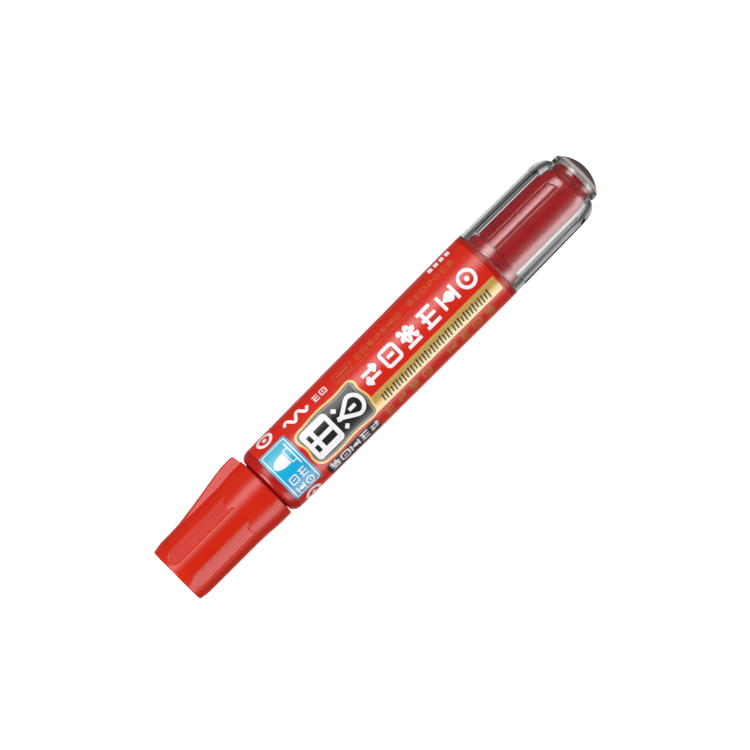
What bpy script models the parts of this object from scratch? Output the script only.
"""Whiteboard marker with a replaceable ink cartridge, lying along +X. Metres, +Z up.

The origin is the centre of the cap's flat end, on the marker's axis. The nib is at the
cap's end and the clear rear cover at the other. The roll-stop lug points towards +Y.

Radii grow from the inside out: the cartridge sets the holder, the holder sets the rear
cover, and the cover sets the barrel. Stations along X follow one another from the cap's end.
"""

from math import cos, pi, radians, sin, sqrt

import bmesh
import bpy
from mathutils import Matrix

MM = 0.001

# Clearances between pieces, and how far a cutter stands past what it cuts
FIT = 0.20 * MM  # round the outside of a piece that sits in another
FACE_GAP = 0.30 * MM  # between two faces that meet
OVERCUT = 2.0 * MM
TINY = 0.01 * MM  # lengths that differ by less are the same

# Facets round a turned piece
OUTER_SIDES = 36
INNER_SIDES = 24

# Nib, wick and nose
NIB_RADIUS = 2.2 * MM
NIB_LENGTH = 15.0 * MM
NIB_SHOWN = 5.0 * MM
NIB_POINT_LENGTH = 3.3 * MM
BUSH_WALL = 0.6 * MM
BUSH_LENGTH = 4.0 * MM
NOSE_WALL = 0.9 * MM
NOSE_LENGTH = 6.0 * MM
COLLAR_RADIUS = 4.9 * MM
COLLAR_LENGTH = 2.6 * MM
SECTION_RADIUS = 5.4 * MM
SECTION_LENGTH = 9.0 * MM
FLANGE_LENGTH = 1.0 * MM
FLANGE_STEP = 0.9 * MM
FEED_RADIUS = 1.4 * MM
WICK_SLEEVE = 2.0 * MM

# Ink collector
COLLECTOR_LENGTH = 40.3 * MM
COLLECTOR_CORE = 2.7 * MM
COLLECTOR_TAIL = 4.0 * MM
FIN_COUNT = 12
FIN_THICKNESS = 1.2 * MM

# Cap
CAP_END_WALL = 1.6 * MM
CAP_WALL = 1.05 * MM
CAP_RIM_FLARE = 0.35 * MM
CAP_END_ROUND = 0.35 * MM
CAP_RIM_ROUND = 0.5 * MM
CAP_RIM_LENGTH = 3.0 * MM
CAP_END_DRAFT = 0.4 * MM
CAP_DRAFT_LENGTH = 3.0 * MM
CAP_FLARE_LENGTH = 8.0 * MM
SEAL_PLATE = 0.9 * MM
SEAL_WALL = 0.7 * MM
SEAL_LIP = 0.5 * MM
NIB_ROOM = 5.2 * MM
LUG_HEIGHT = 2.45 * MM
LUG_WIDTH = 3.6 * MM
LUG_LENGTH = 20.4 * MM
LUG_TOP_LENGTH = 3.2 * MM
LUG_ROUND = 0.8 * MM
LUG_CREST_BEVEL = 0.4 * MM
LUG_RIM_GAP = 0.3 * MM
LUG_RAMP_POWER = 1.2
LUG_ANGLE = 85.0
CAP_FLUTE_COUNT = 5
CAP_FLUTE_WIDTH = 3.5 * MM
CAP_FLUTE_DEPTH = 0.4 * MM
CAP_FLUTE_START = 1.1 * MM
CAP_FLUTE_END_GAP = 8.5 * MM
CAP_FLUTE_NOTCH = 1.5 * MM

# Barrel and its label
GRIP_LENGTH = 5.9 * MM
GRIP_WALL = 1.0 * MM
GRIP_BEAD = 0.12 * MM
BEAD_LENGTH = 1.6 * MM
BARREL_LENGTH = 71.0 * MM
BARREL_WALL = 1.3 * MM
BARREL_TAPER = 0.5 * MM
BARREL_STEP = 0.1 * MM
SHOULDER_STEP = 0.65 * MM
LABEL_FILM = 0.22 * MM
LABEL_FRONT = 2.4 * MM
LABEL_REAR = 1.2 * MM

# Cartridge and its seat
CARTRIDGE_RADIUS = 6.0 * MM
CARTRIDGE_WALL = 0.8 * MM
CARTRIDGE_LENGTH = 51.5 * MM
MOUTH_RADIUS = 4.2 * MM
MOUTH_LENGTH = 3.4 * MM
MOUTH_SHOULDER = 2.4 * MM
TAIL_STEP = 0.8 * MM
TAIL_LENGTH = 2.6 * MM
TAIL_ROUND = 1.6 * MM
TAIL_EDGE_LENGTH = 0.5 * MM
TAIL_EDGE_WIDTH = 0.6 * MM
PLUG_LENGTH = 1.0 * MM
PIERCE_RADIUS = 1.7 * MM
PIERCE_BORE = 1.0 * MM
PIERCE_LENGTH = 12.5 * MM
PIERCE_EDGE = 0.15 * MM
HUB_WALL = 1.1 * MM
HUB_LENGTH = 4.0 * MM
SEAL_RING_WIDTH = 1.6 * MM
SEAL_RING_LENGTH = 2.0 * MM
SEAT_THICKNESS = 1.5 * MM
HOLDER_WALL = 0.9 * MM
HOLDER_FLANGE = 3.0 * MM
SPIGOT_LENGTH = 3.1 * MM
SPIGOT_CHAMFER = 0.3 * MM
THREAD_STARTS = 4
THREAD_LEAD = 10.0 * MM
THREAD_HEIGHT = 0.25 * MM
THREAD_WIDTH = 0.8 * MM

# Rear cover and its end
COVER_WALL = 1.75 * MM
COVER_TAPER = 0.3 * MM
COVER_SHOULDER = 4.3 * MM
BORE_ROUND_LEAD = 1.2 * MM
NECK_BORE_LEAD = 0.6 * MM
NECK_FIT = 0.3 * MM
NECK_WALL = 1.05 * MM
NECK_LENGTH = 2.0 * MM
COVER_FLUTE_WIDTH = 3.1 * MM
COVER_FLUTE_DEPTH = 0.35 * MM
COVER_FLUTE_START = 2.9 * MM
COVER_FLUTE_RUNOUT = 0.6 * MM
COVER_FLUTE_PAIRS = 3
COVER_FLUTE_SPREAD = 16.0
COVER_FLUTE_ANGLE = 32.0
DOME_BASE = 0.1 * MM
DOME_HEIGHT = 2.6 * MM
DOME_EDGE = 0.1 * MM
DOME_BEVEL = 0.2 * MM
STUB_LENGTH = 0.5 * MM

# Stations along X, from the cap's end to the dome
SEAL_START = CAP_END_WALL + FIT
NIB_TIP = SEAL_START + SEAL_PLATE + NIB_ROOM
NOSE_START = NIB_TIP + NIB_SHOWN
COLLAR_START = NOSE_START + NOSE_LENGTH
FLANGE_START = COLLAR_START + COLLAR_LENGTH
GRIP_START = FLANGE_START + FLANGE_LENGTH + FACE_GAP
BARREL_START = GRIP_START + GRIP_LENGTH + FACE_GAP
CAP_LENGTH = BARREL_START - FACE_GAP
SECTION_END = FLANGE_START + FLANGE_LENGTH + SECTION_LENGTH
BARREL_END = BARREL_START + BARREL_LENGTH
COLLECTOR_START = SECTION_END + 2 * FACE_GAP
COLLECTOR_END = COLLECTOR_START + COLLECTOR_LENGTH
SEAT_START = COLLECTOR_END + FACE_GAP
SEAT_END = SEAT_START + SEAT_THICKNESS
RING_START = SEAT_END + FACE_GAP
CARTRIDGE_START = RING_START + SEAL_RING_LENGTH + FACE_GAP
CARTRIDGE_END = CARTRIDGE_START + CARTRIDGE_LENGTH
FEED_END = SEAT_END
PIERCE_START = FEED_END + FACE_GAP
PIERCE_END = PIERCE_START + PIERCE_LENGTH
SPIGOT_END = BARREL_END + SPIGOT_LENGTH
COVER_START = BARREL_END + FIT
PLUG_FACE = CARTRIDGE_END + FACE_GAP
COVER_END = PLUG_FACE + STUB_LENGTH
NECK_START = COVER_END - NECK_LENGTH
DOME_START = COVER_END + FIT

# Radii, from the cartridge outwards
TAIL_RADIUS = CARTRIDGE_RADIUS - TAIL_STEP
HOLDER_BORE = CARTRIDGE_RADIUS + FIT
HOLDER_RADIUS = HOLDER_BORE + HOLDER_WALL
COVER_BORE = HOLDER_RADIUS + THREAD_HEIGHT + FIT
COVER_RADIUS = COVER_BORE + COVER_WALL
NECK_BORE = TAIL_RADIUS + NECK_FIT
NECK_RADIUS = NECK_BORE + NECK_WALL
BARREL_REAR_RADIUS = COVER_RADIUS + BARREL_STEP
BARREL_FRONT_RADIUS = BARREL_REAR_RADIUS - BARREL_TAPER
GRIP_BORE = SECTION_RADIUS + FIT
GRIP_RADIUS = GRIP_BORE + GRIP_WALL
CAP_BORE = GRIP_RADIUS + GRIP_BEAD + FIT
CAP_RADIUS = CAP_BORE + CAP_WALL
CAP_RIM_RADIUS = CAP_RADIUS + CAP_RIM_FLARE
BUSH_BORE = NIB_RADIUS + FIT
BUSH_RADIUS = BUSH_BORE + BUSH_WALL
NOSE_BORE = BUSH_RADIUS + FIT
NOSE_RADIUS = NOSE_BORE + NOSE_WALL
FEED_BORE = FEED_RADIUS + FIT


def clear_scene():
    """Start from an empty scene."""
    for obj in list(bpy.data.objects):
        bpy.data.objects.remove(obj, do_unlink=True)


def material(name, colour, roughness, metallic=0.0, alpha=1.0):
    """A Principled material of one colour."""
    made = bpy.data.materials.new(name)
    made.use_nodes = True
    shader = made.node_tree.nodes["Principled BSDF"]
    shader.inputs["Base Color"].default_value = (*colour, 1.0)
    shader.inputs["Roughness"].default_value = roughness
    shader.inputs["Metallic"].default_value = metallic
    shader.inputs["Alpha"].default_value = alpha
    made.diffuse_color = (*colour, alpha)
    return made


def body(name):
    """An empty on the marker's axis, which carries the pieces that move together."""
    carrier = bpy.data.objects.new(name, None)
    carrier.empty_display_size = 5 * MM
    bpy.context.collection.objects.link(carrier)
    return carrier


def add_object(name, bm, look=None, parent=None):
    """The bmesh as an object with outward faces."""
    bmesh.ops.recalc_face_normals(bm, faces=bm.faces)
    mesh = bpy.data.meshes.new(name)
    bm.to_mesh(mesh)
    bm.free()
    obj = bpy.data.objects.new(name, mesh)
    bpy.context.collection.objects.link(obj)
    obj.parent = parent
    if look:
        mesh.materials.append(look)
        mesh.shade_smooth()
        mesh.set_sharp_from_angle(angle=radians(30))
    return obj


def cutter(name, bm):
    """A helper that is only subtracted from or added to a piece."""
    obj = add_object(name, bm)
    obj.hide_render = True
    obj.display_type = "WIRE"
    return obj


def combine(obj, helper, operation):
    """A Boolean of the piece with one helper."""
    step = obj.modifiers.new(helper.name, "BOOLEAN")
    step.operation = operation
    step.object = helper
    step.solver = "EXACT"


def turned(outline, sides):
    """A bmesh turned about X from points (x, radius).

    Points that end on the axis at both ends make a solid piece. Others close into a ring.
    """
    bm = bmesh.new()
    points = [bm.verts.new((x, radius, 0)) for x, radius in outline]
    pairs = list(zip(points, points[1:]))
    if outline[0][1] > 0 or outline[-1][1] > 0:
        pairs.append((points[-1], points[0]))
    edges = [bm.edges.new(pair) for pair in pairs]
    bmesh.ops.spin(
        bm,
        geom=points + edges,
        cent=(0, 0, 0),
        axis=(1, 0, 0),
        angle=2 * pi,
        steps=sides,
        use_merge=True,
    )
    bmesh.ops.remove_doubles(bm, verts=bm.verts, dist=0.001 * MM)
    return bm


def quarter(start, end, count, bulge_first=True):
    """Points of a quarter ellipse after start, up to end. bulge_first leaves start along the radius."""
    points = []
    for step in range(1, count + 1):
        turn = step / count * pi / 2
        along, across = (1 - cos(turn), sin(turn)) if bulge_first else (sin(turn), 1 - cos(turn))
        points.append((start[0] + (end[0] - start[0]) * along, start[1] + (end[1] - start[1]) * across))
    return points


def prism(outline, bottom, top):
    """A closed outline of (x, y) points, from z = bottom to z = top."""
    bm = bmesh.new()
    face = bm.faces.new([bm.verts.new((x, y, bottom)) for x, y in outline])
    moved = bmesh.ops.extrude_face_region(bm, geom=[face])["geom"]
    lifted = [part for part in moved if isinstance(part, bmesh.types.BMVert)]
    bmesh.ops.translate(bm, verts=lifted, vec=(0, 0, top - bottom))
    return bm


def turn_about_axis(bm, degrees):
    """Turn the bmesh about X, so that what pointed to +Z points to this angle towards +Y."""
    bmesh.ops.rotate(bm, verts=bm.verts, cent=(0, 0, 0), matrix=Matrix.Rotation(-radians(degrees), 3, "X"))


def barrel_radius(x):
    """Outside radius of the barrel, which widens evenly towards the rear cover."""
    return BARREL_FRONT_RADIUS + BARREL_TAPER * (x - BARREL_START) / BARREL_LENGTH


def bore_radius(x):
    """Inside radius of the barrel's main bore."""
    return barrel_radius(x) - LABEL_FILM - FIT - BARREL_WALL


def make_cap(parent):
    """Cap shell, open at its rim, with its lug and flutes."""
    head = CAP_RADIUS - CAP_END_DRAFT
    flare_start = CAP_LENGTH - CAP_FLARE_LENGTH
    outline = [(0, 0), (0, head - CAP_END_ROUND)]
    outline += quarter(outline[-1], (CAP_END_ROUND, head), 3)
    outline += [(CAP_DRAFT_LENGTH / 2, CAP_RADIUS - CAP_END_DRAFT / 4), (CAP_DRAFT_LENGTH, CAP_RADIUS)]
    outline += [(flare_start, CAP_RADIUS), (CAP_LENGTH - CAP_RIM_LENGTH, CAP_RIM_RADIUS)]
    outline += [(CAP_LENGTH - CAP_RIM_ROUND, CAP_RIM_RADIUS)]
    outline += quarter(outline[-1], (CAP_LENGTH, CAP_RIM_RADIUS - CAP_RIM_ROUND), 3, False)
    outline += [(CAP_LENGTH, CAP_BORE), (CAP_END_WALL, CAP_BORE), (CAP_END_WALL, 0)]
    look = material("cap_plastic", (0.80, 0.045, 0.012), 0.25)
    cap = add_object("cap_shell", turned(outline, OUTER_SIDES), look, parent)
    combine(cap, cap_lug(), "UNION")
    for index in range(CAP_FLUTE_COUNT):
        angle = LUG_ANGLE + 360 / (CAP_FLUTE_COUNT + 1) * (index + 1)
        combine(cap, cap_flute(f"cap_flute_{index + 1}", angle), "DIFFERENCE")


def cap_lug():
    """Ridge that rises towards the rim and keeps the marker from rolling."""
    end = CAP_LENGTH - LUG_RIM_GAP
    start = end - LUG_LENGTH
    low = CAP_BORE + CAP_WALL / 2
    root = CAP_RADIUS - FIT / 2
    high = CAP_RADIUS + LUG_HEIGHT
    ramp = LUG_LENGTH - LUG_TOP_LENGTH - LUG_ROUND
    outline = [(start, low)]
    for step in range(5):
        share = step / 4
        outline.append((start + ramp * share, root + (high - root) * share**LUG_RAMP_POWER))
    outline.append((end - LUG_ROUND, high))
    outline += quarter(outline[-1], (end, high - LUG_ROUND), 3, False)
    outline.append((end, low))
    bm = prism(outline, -LUG_WIDTH / 2, LUG_WIDTH / 2)
    bmesh.ops.recalc_face_normals(bm, faces=bm.faces)
    crest = [edge for edge in bm.edges if is_lug_crest(edge, high)]
    bmesh.ops.bevel(bm, geom=crest, offset=LUG_CREST_BEVEL, segments=2, affect="EDGES", profile=0.5)
    turn_about_axis(bm, LUG_ANGLE - 90)
    return cutter("cap_lug", bm)


def is_lug_crest(edge, high):
    """The two long edges along the flat top of the lug."""
    first, second = edge.verts
    level = abs(first.co.y - high) < TINY and abs(second.co.y - high) < TINY
    return level and abs(first.co.z - second.co.z) < TINY


def cap_flute(name, angle):
    """Shallow recess: round at the cap's end, and cut in by an arc where the cap widens."""
    half = CAP_FLUTE_WIDTH / 2
    end = CAP_LENGTH - CAP_FLUTE_END_GAP
    front = CAP_FLUTE_START + half
    outline = []
    for step in range(9):
        turn = pi / 2 + pi * step / 8
        outline.append((front + half * cos(turn), half * sin(turn)))
    for step in range(5):
        turn = -pi / 2 + pi * step / 4
        outline.append((end - CAP_FLUTE_NOTCH * cos(turn), half * sin(turn)))
    bm = prism(outline, CAP_RADIUS - CAP_FLUTE_DEPTH, CAP_RADIUS + OVERCUT)
    turn_about_axis(bm, angle)
    return cutter(name, bm)


def make_cap_inner_seal(parent):
    """Inner cap that closes over the collar behind the nose."""
    inside = COLLAR_RADIUS + FIT
    mouth = COLLAR_START + COLLAR_LENGTH - FACE_GAP
    start = SEAL_START
    base = start + SEAL_PLATE
    outline = [(start, 0), (start, CAP_BORE - FIT), (base, CAP_BORE - FIT), (base, inside + SEAL_WALL)]
    outline += [(mouth, inside + SEAL_LIP), (mouth, inside), (base, inside), (base, 0)]
    look = material("seal_plastic", (0.85, 0.85, 0.82), 0.4)
    add_object("cap_inner_seal", turned(outline, INNER_SIDES), look, parent)


def make_nib(parent):
    """Bullet nib."""
    outline = [(NIB_TIP, 0)]
    outline += quarter(outline[-1], (NIB_TIP + NIB_POINT_LENGTH, NIB_RADIUS), 6)
    outline += [(NIB_TIP + NIB_LENGTH, NIB_RADIUS), (NIB_TIP + NIB_LENGTH, 0)]
    look = material("nib_fibre", (0.55, 0.02, 0.02), 0.8)
    add_object("nib", turned(outline, INNER_SIDES), look, parent)


def make_nib_bush(parent):
    """Sleeve that grips the nib in the mouth of the nose."""
    end = NOSE_START + BUSH_LENGTH
    outline = [(NOSE_START, BUSH_BORE), (NOSE_START, BUSH_RADIUS), (end, BUSH_RADIUS), (end, BUSH_BORE)]
    look = material("bush_plastic", (0.75, 0.75, 0.72), 0.35)
    add_object("nib_bush", turned(outline, INNER_SIDES), look, parent)


def make_front_section(parent):
    """Nose cone, sealing collar, flange and the plug that is pressed into the barrel."""
    plug_start = FLANGE_START + FLANGE_LENGTH
    flange_radius = SECTION_RADIUS + FLANGE_STEP
    nib_end = NIB_TIP + NIB_LENGTH
    bush_end = NOSE_START + BUSH_LENGTH + FIT
    socket = COLLECTOR_CORE + FIT
    socket_end = nib_end + WICK_SLEEVE
    outline = [(NOSE_START, NOSE_BORE), (NOSE_START, NOSE_RADIUS)]
    outline += quarter(outline[-1], (COLLAR_START, COLLAR_RADIUS), 4, False)
    outline += [(FLANGE_START, COLLAR_RADIUS), (FLANGE_START, flange_radius)]
    outline += [(plug_start, flange_radius), (plug_start, SECTION_RADIUS), (SECTION_END, SECTION_RADIUS)]
    outline += [(SECTION_END, socket), (socket_end, socket), (socket_end, FEED_BORE)]
    outline += [(nib_end + FACE_GAP, FEED_BORE), (nib_end + FACE_GAP, BUSH_BORE)]
    outline += [(bush_end, BUSH_BORE), (bush_end, NOSE_BORE)]
    look = material("section_plastic", (0.82, 0.82, 0.80), 0.3)
    add_object("front_section", turned(outline, INNER_SIDES), look, parent)


def make_feed_rod(parent):
    """Fibre rod from the back of the nib to the seat."""
    start = NIB_TIP + NIB_LENGTH + FACE_GAP
    outline = [(start, 0), (start, FEED_RADIUS), (FEED_END, FEED_RADIUS), (FEED_END, 0)]
    look = material("feed_fibre", (0.60, 0.05, 0.05), 0.9)
    add_object("feed_rod", turned(outline, INNER_SIDES), look, parent)


def make_ink_collector(parent):
    """Hollow core with thin fins, which store ink between them."""
    front = NIB_TIP + NIB_LENGTH + WICK_SLEEVE + FACE_GAP
    radius = bore_radius(COLLECTOR_START) - FIT
    pitch = (COLLECTOR_LENGTH - COLLECTOR_TAIL - FIN_THICKNESS) / (FIN_COUNT - 1)
    outline = [(front, FEED_BORE), (front, COLLECTOR_CORE)]
    for index in range(FIN_COUNT):
        fin = COLLECTOR_START + pitch * index
        after = fin + FIN_THICKNESS
        outline += [(fin, COLLECTOR_CORE), (fin, radius), (after, radius), (after, COLLECTOR_CORE)]
    outline += [(COLLECTOR_END, COLLECTOR_CORE), (COLLECTOR_END, FEED_BORE)]
    look = material("collector_plastic", (0.80, 0.78, 0.74), 0.45)
    add_object("ink_collector", turned(outline, INNER_SIDES), look, parent)


def make_barrel(parent):
    """Body tube: a grip for the cap, a rounded shoulder, and a long tapered wall."""
    label_start = BARREL_START + LABEL_FRONT
    label_end = BARREL_END - LABEL_REAR
    sunk = LABEL_FILM + FIT
    bead = GRIP_START + GRIP_LENGTH / 2
    bore_start = SECTION_END + FACE_GAP
    outline = [(GRIP_START, GRIP_BORE), (GRIP_START, GRIP_RADIUS), (bead - BEAD_LENGTH / 2, GRIP_RADIUS)]
    outline += [(bead, GRIP_RADIUS + GRIP_BEAD), (bead + BEAD_LENGTH / 2, GRIP_RADIUS)]
    outline.append((BARREL_START, GRIP_RADIUS))
    outline += [(BARREL_START, GRIP_RADIUS + SHOULDER_STEP)]
    outline += quarter(outline[-1], (label_start - FIT, barrel_radius(label_start)), 5)
    outline += [(label_start - FIT, barrel_radius(label_start) - sunk)]
    outline.append((label_end + FIT, barrel_radius(label_end) - sunk))
    outline.append((label_end + FIT, barrel_radius(label_end)))
    outline += [(BARREL_END, BARREL_REAR_RADIUS), (BARREL_END, bore_radius(BARREL_END))]
    outline += [(bore_start, bore_radius(bore_start)), (bore_start, GRIP_BORE)]
    look = material("barrel_plastic", (0.62, 0.02, 0.015), 0.28)
    add_object("barrel", turned(outline, OUTER_SIDES), look, parent)


def make_label(parent):
    """Printed film that lies in a shallow step in the barrel."""
    start = BARREL_START + LABEL_FRONT
    end = BARREL_END - LABEL_REAR
    outline = [(start, barrel_radius(start) - LABEL_FILM), (start, barrel_radius(start))]
    outline += [(end, barrel_radius(end)), (end, barrel_radius(end) - LABEL_FILM)]
    look = material("label_film", (0.66, 0.02, 0.012), 0.2)
    add_object("barrel_label", turned(outline, OUTER_SIDES), look, parent)


def make_cartridge_holder(parent):
    """Inner tube: seat with a hub, guide flange, and a threaded spigot for the rear cover."""
    hub_bore = PIERCE_RADIUS + FIT
    hub = hub_bore + HUB_WALL
    hub_end = SEAT_END + HUB_LENGTH
    flange_end = BARREL_END - FACE_GAP
    flange_start = flange_end - HOLDER_FLANGE
    outline = [(SEAT_START, FEED_BORE), (SEAT_START, bore_radius(SEAT_START) - FIT)]
    outline += [(SEAT_END, bore_radius(SEAT_START) - FIT), (SEAT_END, HOLDER_RADIUS)]
    outline += [(flange_start, HOLDER_RADIUS), (flange_start, bore_radius(flange_start) - FIT)]
    outline += [(flange_end, bore_radius(flange_start) - FIT), (flange_end, HOLDER_RADIUS)]
    outline += [(SPIGOT_END - SPIGOT_CHAMFER, HOLDER_RADIUS), (SPIGOT_END, HOLDER_RADIUS - SPIGOT_CHAMFER)]
    outline += [(SPIGOT_END, HOLDER_BORE), (SEAT_END, HOLDER_BORE), (SEAT_END, hub), (hub_end, hub)]
    outline += [(hub_end, hub_bore), (SEAT_END, hub_bore), (SEAT_END, FEED_BORE)]
    look = material("holder_plastic", (0.55, 0.03, 0.03), 0.4)
    holder = add_object("cartridge_holder", turned(outline, OUTER_SIDES), look, parent)
    for index in range(THREAD_STARTS):
        combine(holder, thread_ridge(index), "UNION")


def thread_ridge(index):
    """One start of the spigot's thread: a bar that follows a right-handed helix."""
    start = BARREL_END + THREAD_WIDTH
    end = SPIGOT_END - THREAD_WIDTH
    turn = 2 * pi * (end - start) / THREAD_LEAD
    base = HOLDER_RADIUS - HOLDER_WALL / 2
    crest = HOLDER_RADIUS + THREAD_HEIGHT
    half, narrow = THREAD_WIDTH / 2, THREAD_WIDTH / 4
    section = [(-half, base), (half, base), (narrow, crest), (-narrow, crest)]
    steps = 8
    bm = bmesh.new()
    rings = []
    for step in range(steps + 1):
        angle = 2 * pi * index / THREAD_STARTS + turn * step / steps
        x = start + (end - start) * step / steps
        ring = [(x + dx, radius * cos(angle), radius * sin(angle)) for dx, radius in section]
        rings.append([bm.verts.new(point) for point in ring])
    for first, second in zip(rings, rings[1:]):
        for side in range(4):
            other = (side + 1) % 4
            bm.faces.new((first[side], first[other], second[other], second[side]))
    bm.faces.new(rings[0])
    bm.faces.new(rings[-1])
    return cutter(f"thread_{index + 1}", bm)


def make_piercing_tube(parent):
    """Hollow spike with a cone-shaped end."""
    tip = PIERCE_END - 2 * PIERCE_RADIUS
    outline = [(PIERCE_START, PIERCE_BORE), (PIERCE_START, PIERCE_RADIUS), (tip, PIERCE_RADIUS)]
    outline += [(PIERCE_END, PIERCE_BORE + PIERCE_EDGE), (PIERCE_END, PIERCE_BORE)]
    look = material("piercing_steel", (0.70, 0.70, 0.72), 0.25, 1.0)
    add_object("piercing_tube", turned(outline, INNER_SIDES), look, parent)


def make_seat_seal_ring(parent):
    """Soft ring round the hub, which the cartridge's mouth presses on."""
    inside = PIERCE_RADIUS + FIT + HUB_WALL + FIT
    outside = inside + SEAL_RING_WIDTH
    end = RING_START + SEAL_RING_LENGTH
    outline = [(RING_START, inside), (RING_START, outside), (end, outside), (end, inside)]
    look = material("seal_rubber", (0.05, 0.05, 0.05), 0.7)
    add_object("seat_seal_ring", turned(outline, INNER_SIDES), look, parent)


def cartridge_outline(offset):
    """The cartridge's outside, moved inwards by offset, from its mouth to its tail."""
    mouth_end = CARTRIDGE_START + MOUTH_LENGTH
    tail_start = CARTRIDGE_END - TAIL_LENGTH
    radius = CARTRIDGE_RADIUS - offset
    tail = TAIL_RADIUS - offset
    points = [(mouth_end + offset / 2, MOUTH_RADIUS - offset)]
    points.append((mouth_end + MOUTH_SHOULDER + offset / 2, radius))
    points.append((tail_start - TAIL_ROUND, radius))
    points += quarter(points[-1], (tail_start, tail), 4, False)
    end = CARTRIDGE_END - offset
    points.append((end - TAIL_EDGE_LENGTH, tail))
    points += quarter(points[-1], (end, tail - TAIL_EDGE_WIDTH), 3, False)
    points.append((end, 0))
    return points


def make_cartridge_tube(parent):
    """Blow-moulded ink tube with an open mouth and a stepped tail."""
    outside = cartridge_outline(0)
    inside = cartridge_outline(CARTRIDGE_WALL)
    outline = outside[::-1] + [(CARTRIDGE_START, MOUTH_RADIUS)]
    outline += [(CARTRIDGE_START, MOUTH_RADIUS - CARTRIDGE_WALL)] + inside
    look = material("cartridge_plastic", (0.40, 0.008, 0.012), 0.2)
    add_object("cartridge_tube", turned(outline, INNER_SIDES), look, parent)


def make_cartridge_plug(parent):
    """Pierced plug in the cartridge's mouth."""
    hole = PIERCE_RADIUS + FIT
    radius = MOUTH_RADIUS - CARTRIDGE_WALL - FIT
    front = SEAT_END + HUB_LENGTH + FACE_GAP
    end = front + PLUG_LENGTH
    outline = [(front, hole), (front, radius), (end, radius), (end, hole)]
    look = material("plug_plastic", (0.80, 0.80, 0.78), 0.5)
    add_object("cartridge_plug", turned(outline, INNER_SIDES), look, parent)


def make_ink(parent):
    """The ink, with a hollow where the piercing tube stands in it."""
    inset = CARTRIDGE_WALL + FIT
    surface = cartridge_outline(inset)[1:]
    front = surface[0][0] + FIT
    hole = PIERCE_RADIUS + FIT
    depth = PIERCE_END + FACE_GAP
    outline = [(depth, 0), (depth, hole), (front, hole), (front, surface[0][1])] + surface[1:]
    look = material("ink_red", (0.35, 0.0, 0.01), 0.1)
    add_object("ink", turned(outline, INNER_SIDES), look, parent)


def make_rear_cover(parent):
    """Clear cover: tapered wall, rounded shoulder and an open neck."""
    shoulder = NECK_START - COVER_SHOULDER
    shoulder_radius = COVER_RADIUS - COVER_TAPER
    outline = [(COVER_START, COVER_BORE), (COVER_START, COVER_RADIUS), (shoulder, shoulder_radius)]
    outline += quarter(outline[-1], (NECK_START, NECK_RADIUS), 7, False)
    outline += [(COVER_END, NECK_RADIUS), (COVER_END, NECK_BORE)]
    inner = [(shoulder - BORE_ROUND_LEAD, COVER_BORE)]
    inner += quarter(inner[-1], (NECK_START - NECK_BORE_LEAD, NECK_BORE), 6, False)
    outline += inner[::-1]
    look = material("cover_clear", (0.95, 0.96, 0.97), 0.05, 0.0, 0.25)
    cover = add_object("rear_cover", turned(outline, OUTER_SIDES), look, parent)
    for pair in range(COVER_FLUTE_PAIRS):
        middle = COVER_FLUTE_ANGLE + 360 / COVER_FLUTE_PAIRS * pair
        combine(cover, cover_flute(f"cover_flute_{pair + 1}a", middle - COVER_FLUTE_SPREAD), "DIFFERENCE")
        combine(cover, cover_flute(f"cover_flute_{pair + 1}b", middle + COVER_FLUTE_SPREAD), "DIFFERENCE")


def cover_flute(name, angle):
    """Flat-bottomed recess that runs out where the cover's shoulder begins."""
    start = COVER_START + COVER_FLUTE_START
    end = NECK_START - COVER_SHOULDER + COVER_FLUTE_RUNOUT
    half = COVER_FLUTE_WIDTH / 2
    floor = COVER_RADIUS - COVER_TAPER - COVER_FLUTE_DEPTH
    outline = [(start, -half), (end, -half), (end, half), (start, half)]
    bm = prism(outline, floor, COVER_RADIUS + OVERCUT)
    turn_about_axis(bm, angle)
    return cutter(name, bm)


def make_end_plug(parent):
    """Domed plug pressed into the cover's neck."""
    stub = NECK_BORE - FIT
    base = NECK_RADIUS - DOME_EDGE
    crown = DOME_START + DOME_BASE
    outline = [(PLUG_FACE, 0), (PLUG_FACE, stub), (DOME_START, stub), (DOME_START, base)]
    outline.append((crown, base - DOME_BEVEL))
    outline += dome_points(crown, base - DOME_BEVEL)
    look = material("plug_smoke", (0.06, 0.06, 0.065), 0.1)
    add_object("end_plug", turned(outline, OUTER_SIDES), look, parent)


def dome_points(x, radius):
    """Points of a spherical cap of DOME_HEIGHT after its base, ending on the axis."""
    ball = (radius**2 + DOME_HEIGHT**2) / (2 * DOME_HEIGHT)
    centre = x + DOME_HEIGHT - ball
    points = []
    for step in range(1, 7):
        across = radius * (1 - step / 6)
        points.append((centre + sqrt(ball**2 - across**2), across))
    return points


def main():
    clear_scene()
    barrel_body = body("barrel_body")
    cap_body = body("cap_body")
    cartridge_body = body("cartridge_body")
    cover_body = body("cover_body")
    make_cap(cap_body)
    make_cap_inner_seal(cap_body)
    make_nib(barrel_body)
    make_nib_bush(barrel_body)
    make_front_section(barrel_body)
    make_feed_rod(barrel_body)
    make_ink_collector(barrel_body)
    make_barrel(barrel_body)
    make_label(barrel_body)
    make_cartridge_holder(barrel_body)
    make_piercing_tube(barrel_body)
    make_seat_seal_ring(barrel_body)
    make_cartridge_tube(cartridge_body)
    make_cartridge_plug(cartridge_body)
    make_ink(cartridge_body)
    make_rear_cover(cover_body)
    make_end_plug(cover_body)


main()
